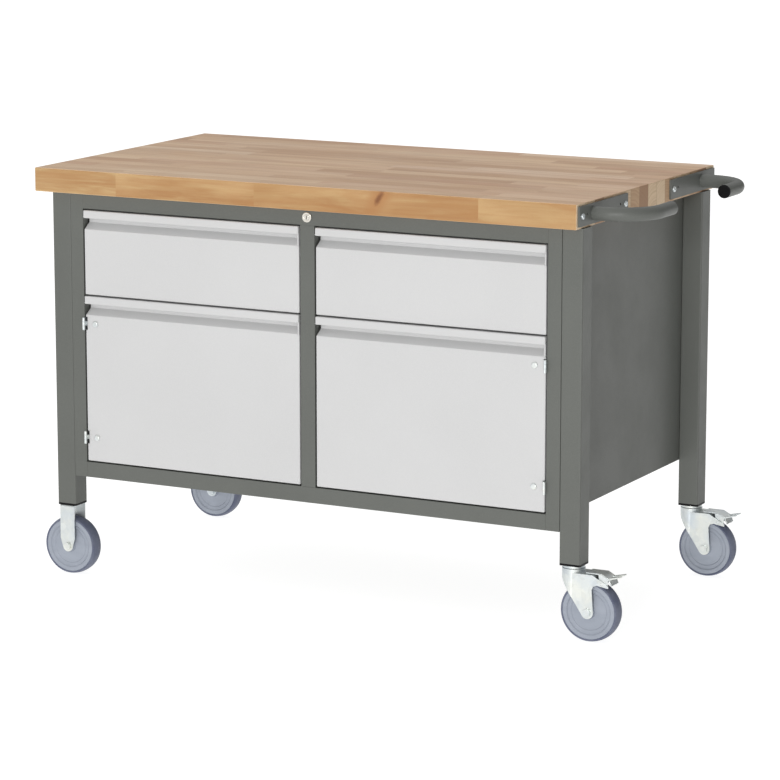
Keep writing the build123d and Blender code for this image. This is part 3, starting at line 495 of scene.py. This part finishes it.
def tread_rubber():
    """Grey-blue rubber with fine moulding lines round the tyre's crown and dust in them."""
    r = Recipe("grey_rubber")
    base, worn, dust = tint(84, 90, 112), tint(104, 109, 126), tint(140, 142, 148)
    colour = r.blend(r.fit(r.noise(26, 4), 0.38, 0.66), base, worn)
    colour = r.blend(r.fit(r.noise(420, 3), 0.56, 0.75, 0.0, 0.35), colour, dust)
    across = r.split(r.place)[1]
    lines = r.sum("SINE", r.sum("MULTIPLY", across, 5200.0))
    normal = r.relief(r.noise(1500, 2), 0.00005, 0.5)
    normal = r.relief(lines, 0.00001, 0.25, normal)
    roughness = r.fit(r.noise(60, 3), 0.3, 0.7, 0.52, 0.68)
    return r.done(Base_Color=colour, Roughness=roughness, Normal=normal)


def floor_paint():
    """A pale, even studio floor, lit a little from within so that shadows on it stay faint."""
    r = Recipe("studio_floor")
    colour = r.blend(r.noise(0.8, 3), tint(158, 158, 158), tint(164, 164, 163))
    glow = {"Emission_Color": (1.0, 1.0, 1.0, 1.0), "Emission_Strength": FLOOR_GLOW}
    return r.done(Base_Color=colour, Roughness=0.9, Specular_IOR_Level=0.1, **glow)


FINISHES = {
    "beech": oiled_beech(),
    "frame_paint": powder_coat("grey_powder_coat", tint(93, 95, 91), tint(104, 106, 102), tint(89, 91, 87)),
    "front_paint": powder_coat(
        "light_powder_coat", tint(190, 190, 190), tint(198, 198, 198), tint(187, 187, 187), 0.4
    ),
    "inner_sheet": zinc_plate("galvanised_sheet", tint(182, 186, 186), tint(168, 174, 178), 0.42, 110.0),
    "zinc": zinc_plate("bright_zinc", tint(226, 228, 222), tint(205, 212, 216)),
    "lock_metal": zinc_plate("nickel_plate", tint(226, 222, 212), tint(214, 210, 202), 0.2, 400.0),
    "black_plastic": moulded("black_plastic", tint(7, 7, 8), tint(13, 13, 14), 0.42, 0.15),
    "wheel_plastic": moulded("wheel_nylon", tint(138, 144, 155), tint(146, 152, 163), 0.46),
    "tread": tread_rubber(),
    "magnet": moulded("magnet_case", tint(196, 176, 146), tint(206, 188, 160), 0.5),
}
SLOT_OF = {part["node"]: part["material_slot"] for part in frame["record"]["subparts"]}


# Fronts


def front_profile(front, bottom, top):
    """The folded front's outer line from its lower rear edge round face, groove and lip, in Y and Z."""
    face, lip = front + LIP_PROUD, front
    groove, rear = face + GROOVE_DEPTH, face + FRONT_DEPTH
    lip_z = top - LIP_HEIGHT
    corners = [
        (rear, bottom), (face, bottom), (face, lip_z - GROOVE_BAND - GROOVE_SLOPE),
        (groove, lip_z - GROOVE_BAND), (groove, lip_z), (lip, lip_z), (lip, top), (rear, top),
    ]
    radii = [BEND, BEND, SHEET, 1.0 * MM, 1.4 * MM, BEND]
    return rounded_line(corners, radii)


def folded_front(name, body, hinges=None):
    """A front as a grid: along it runs the folded profile, across it the pan's rounded ends.

    Within one bend radius of an end, the profile moves inwards by radius times (1 - cos t) while x
    moves out by radius times sin t. Past that, the end flange is ruled from the profile to the rear.
    The faces within a notch behind each hinge barrel are left out. Solidify gives the sheet its
    thickness inwards.
    """
    low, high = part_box(name)
    line = front_profile(low.y, low.z, high.z)
    if hinges:
        heights = [z + half for z in HINGE_HEIGHTS for half in (-NOTCH_HEIGHT / 2, NOTCH_HEIGHT / 2)]
        face_y = low.y + LIP_PROUD
        after = np.flatnonzero(np.isclose(line[:, 0], face_y))[0] + 1
        line = np.insert(line, after, [(face_y, z) for z in heights], axis=0)
    move = inward(line)
    rear = low.y + LIP_PROUD + FRONT_DEPTH
    lip_z = high.z - LIP_HEIGHT
    under_lip = (line[:, 1] <= lip_z + 2 * MM) & (line[:, 1] > lip_z - 1 * MM)
    proud = np.clip((rear - line[:, 0]) / (rear - low.y), 0, 1)
    target_z = np.where(under_lip, lip_z + 1.5 * MM + 3 * MM * proud, line[:, 1])
    target_z = np.clip(np.maximum.accumulate(target_z), low.z + BEND, high.z - BEND)
    flange = np.stack([np.full(len(line), rear), target_z], axis=1)
    tight = line + move * BEND
    share = (NOTCH_DEPTH - BEND) / (FRONT_DEPTH - BEND)
    rows, places = [flange, tight + (flange - tight) * share], [low.x, low.x]
    for angle in np.linspace(math.pi / 2, 0, 6):
        rows.append(line + move * BEND * (1 - math.cos(angle)))
        places.append(low.x + BEND * (1 - math.sin(angle)))
    rows.append(line)
    places.append(low.x + NOTCH_WIDTH)
    rows += rows[::-1]
    places += [low.x + high.x - x for x in places[::-1]]
    yz = np.array(rows)
    x = np.broadcast_to(np.array(places)[:, None], yz.shape[:2])
    points = np.concatenate([x[..., None], yz], axis=-1).reshape(-1, 3)
    faces = grid_faces(*yz.shape[:2])
    if hinges:
        middle = points[faces].mean(axis=1)
        from_end = middle[:, 0] - low.x if hinges == "left" else high.x - middle[:, 0]
        shallow = middle[:, 1] < low.y + LIP_PROUD + NOTCH_DEPTH
        level = np.zeros(len(faces), bool)
        for z in HINGE_HEIGHTS:
            level |= np.abs(middle[:, 2] - z) < NOTCH_HEIGHT / 2
        faces = faces[~(level & shallow & (from_end < NOTCH_WIDTH))]
    piece = add_piece(name + "_finished", points, faces, body, "front_paint", [name], sharp=50)
    wall = piece.modifiers.new("sheet", "SOLIDIFY")
    wall.thickness = SHEET
    wall.offset = -1
    even = piece.modifiers.new("even_shading", "WEIGHTED_NORMAL")
    even.keep_sharp = True
    groove_stop(name, body, low, high)
    return piece


def groove_stop(name, body, low, high):
    """The block that closes the groove at the front's right end: its outline in Y and Z drawn along X."""
    face = low.y + LIP_PROUD
    top = high.z - LIP_HEIGHT
    bend = top - GROOVE_BAND
    back = face + GROOVE_DEPTH + SHEET / 2
    outline = [(face, bend - GROOVE_SLOPE), (back, bend), (back, top + SHEET / 2), (face, top + SHEET / 2)]
    x = np.repeat([high.x - GROOVE_STOP, high.x], len(outline))
    points = np.column_stack([x, np.tile(outline, (2, 1))])
    faces = [[0, 1, 2, 3], [7, 6, 5, 4], *grid_faces(2, 4, close_columns=True)[:, ::-1].tolist()]
    piece = add_piece(name + "_groove_stop", points, faces, body, "front_paint")
    return finish_edges(piece, STOP_EDGE, 3)


def lock_hook(side, kind, body):
    """The bent strip behind a front's end that the locking bar's tongue rises into.

    An L-shaped line in Y and Z, moved a millimetre to each side of itself and drawn along X.
    """
    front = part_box(f"{kind}_{side}")
    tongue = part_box("locking_bar")[0].z + (DOOR_TONGUE if kind == "door" else DRAWER_TONGUE)
    near = front[1].x - SHEET if side == "left" else front[0].x + SHEET
    far = near - HOOK_REACH if side == "left" else near + HOOK_REACH
    y0, y1 = front[1].y - HOOK_DEPTH, front[1].y
    z0, z1 = tongue + 2 * MM, tongue + 21 * MM
    line = rounded_line([(y0, z1 - 1.5 * MM), (y1 - 1 * MM, z1 - 1.5 * MM), (y1 - 1 * MM, z0)], [2 * MM])
    move = inward(line)
    loop = np.concatenate([line + move * MM, (line - move * MM)[::-1]])
    x = np.repeat(sorted((near, far)), len(loop))
    points = np.column_stack([x, np.tile(loop, (2, 1))])
    count = len(loop)
    faces = [list(f) for f in grid_faces(2, count, close_columns=True)]
    half = len(line)
    for first in (0, count):
        last = first + count - 1
        quads = [[first + n, first + n + 1, last - n - 1, last - n] for n in range(half - 1)]
        faces += [q if first else q[::-1] for q in quads]
    piece = add_piece(f"{kind}_{side}_hook", points, faces, body, "zinc")
    return finish_edges(piece, HOOK_EDGE)


# Castor wheels


def wheel(end, side):
    """A wheel's nylon centre and rubber tyre, both turned round the axle.

    The tread's radius falls from its middle by the crown times the square of the share of the half
    width, and each side steps down over the flank to the rim.
    """
    low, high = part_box(f"tyre_{end}_{side}")
    centre = (low + high) / 2
    body = f"{end}_{side}_wheel"
    corners = RIM_HALF + [(r, -w) for r, w in RIM_HALF[::-1]]
    radii = RIM_BENDS + [RIM_SEAT_BEND] * 2 + RIM_BENDS[::-1]
    rim_line = rounded_line(np.array(corners) * MM, np.array(radii) * MM, 4)
    turned(f"rim_{end}_{side}_finished", rim_line, centre, body, "wheel_plastic", [f"rim_{end}_{side}"], 60)
    across = np.linspace(-1, 1, 17)
    tread = np.stack([TREAD_RADIUS - TREAD_CROWN * across**2, TREAD_HALF_WIDTH * across], axis=1)
    flanks = np.array(TYRE_FLANK + [(r, -w) for r, w in TYRE_FLANK[::-1]])
    line = np.concatenate([tread, flanks]) * MM
    turned(f"tyre_{end}_{side}_finished", line[::-1], centre, body, "tread", [f"tyre_{end}_{side}"], 50)


# Putting it together

for node, slot in SLOT_OF.items():
    NODES[node].material_slots[0].material = FINISHES[slot]

for side in ("left", "right"):
    folded_front(f"drawer_front_{side}", f"{side}_drawer")
    folded_front(f"door_{side}", f"{side}_door", side)
    lock_hook(side, "drawer_front", f"{side}_drawer")
    lock_hook(side, "door", f"{side}_door")
    for end in ("front", "rear"):
        wheel(end, side)

for node in ("stile_left", "stile_right", "centre_post", "top_rail", "bottom_rail", "side_panel_left",
             "side_panel_right", "back_panel", "cross_rails"):
    softened(node, FRAME_EDGE)
for node in ("swivel_fork_front", "swivel_fork_rear", "brake_pedal_front", "brake_pedal_rear",
             "fixed_forks"):
    softened(node, CASTOR_EDGE, 3)
for node in ("swivel_axle_front", "swivel_axle_rear", "fixed_axles", "lock_housing", "hinge_frame_leaves",
             "door_hinge_leaves_left", "door_hinge_leaves_right", "leg_plugs", "drawer_tray_left",
             "drawer_tray_right", "swivel_heads"):
    softened(node, FITTING_EDGE)


# Floor, light and camera


def studio_floor():
    """A flat square far larger than the view."""
    mesh = bpy.data.meshes.new("studio_floor")
    corners = [(x * FLOOR_HALF, y * FLOOR_HALF, 0) for x, y in ((-1, -1), (1, -1), (1, 1), (-1, 1))]
    mesh.from_pydata(corners, [], [(0, 1, 2, 3)])
    mesh.materials.append(floor_paint())
    floor = bpy.data.objects.new("studio_floor", mesh)
    bpy.context.scene.collection.objects.link(floor)


def softbox(name, place, aim, size, power):
    """A large rectangular light that faces a point."""
    light = bpy.data.lights.new(name, "AREA")
    light.shape = "RECTANGLE"
    light.size, light.size_y = size
    light.energy = power
    lamp = bpy.data.objects.new(name, light)
    lamp.location = place
    lamp.rotation_mode = "QUATERNION"
    lamp.rotation_quaternion = (Vector(aim) - Vector(place)).to_track_quat("-Z", "Y")
    bpy.context.scene.collection.objects.link(lamp)


def studio_world():
    """A pale room, brighter overhead than at its walls and dimmer towards its right side."""
    world = bpy.data.worlds.new("studio")
    world.use_nodes = True
    tree = world.node_tree
    direction = tree.nodes.new("ShaderNodeSeparateXYZ")
    tree.links.new(tree.nodes.new("ShaderNodeTexCoord").outputs["Generated"], direction.inputs[0])
    product = tree.nodes.new("ShaderNodeMath")
    product.operation = "MULTIPLY"
    upwards, rightwards = (2, 0.08, 0.75, WALL_LIGHT, OVERHEAD_LIGHT), (0, -0.1, 0.7, 1.0, RIGHT_SIDE_SHARE)
    for slot, (axis, *limits) in enumerate((upwards, rightwards)):
        change = tree.nodes.new("ShaderNodeMapRange")
        change.interpolation_type = "SMOOTHSTEP"
        tree.links.new(direction.outputs[axis], change.inputs[0])
        for index, value in enumerate(limits, 1):
            change.inputs[index].default_value = value
        tree.links.new(change.outputs[0], product.inputs[slot])
    background = tree.nodes["Background"]
    background.inputs["Color"].default_value = (1, 1, 1, 1)
    tree.links.new(product.outputs[0], background.inputs["Strength"])
    bpy.context.scene.world = world


def camera():
    """The view from the front and right, a little above the worktop."""
    data = bpy.data.cameras.new("camera")
    data.lens = CAMERA_LENS
    data.sensor_width = 36.0
    data.clip_end = 200.0
    flat = math.cos(CAMERA_PITCH)
    heading = math.sin(CAMERA_YAW) * flat, math.cos(CAMERA_YAW) * flat
    forward = Vector((*heading, -math.sin(CAMERA_PITCH)))
    view = bpy.data.objects.new("camera", data)
    view.location = CAMERA_PLACE
    view.rotation_mode = "QUATERNION"
    view.rotation_quaternion = forward.to_track_quat("-Z", "Y")
    bpy.context.scene.collection.objects.link(view)
    bpy.context.scene.camera = view


studio_floor()
studio_world()
softbox("key_light", KEY_PLACE, KEY_AIM, KEY_SIZE, KEY_POWER)
camera()
bpy.context.scene.view_settings.view_transform = "Standard"
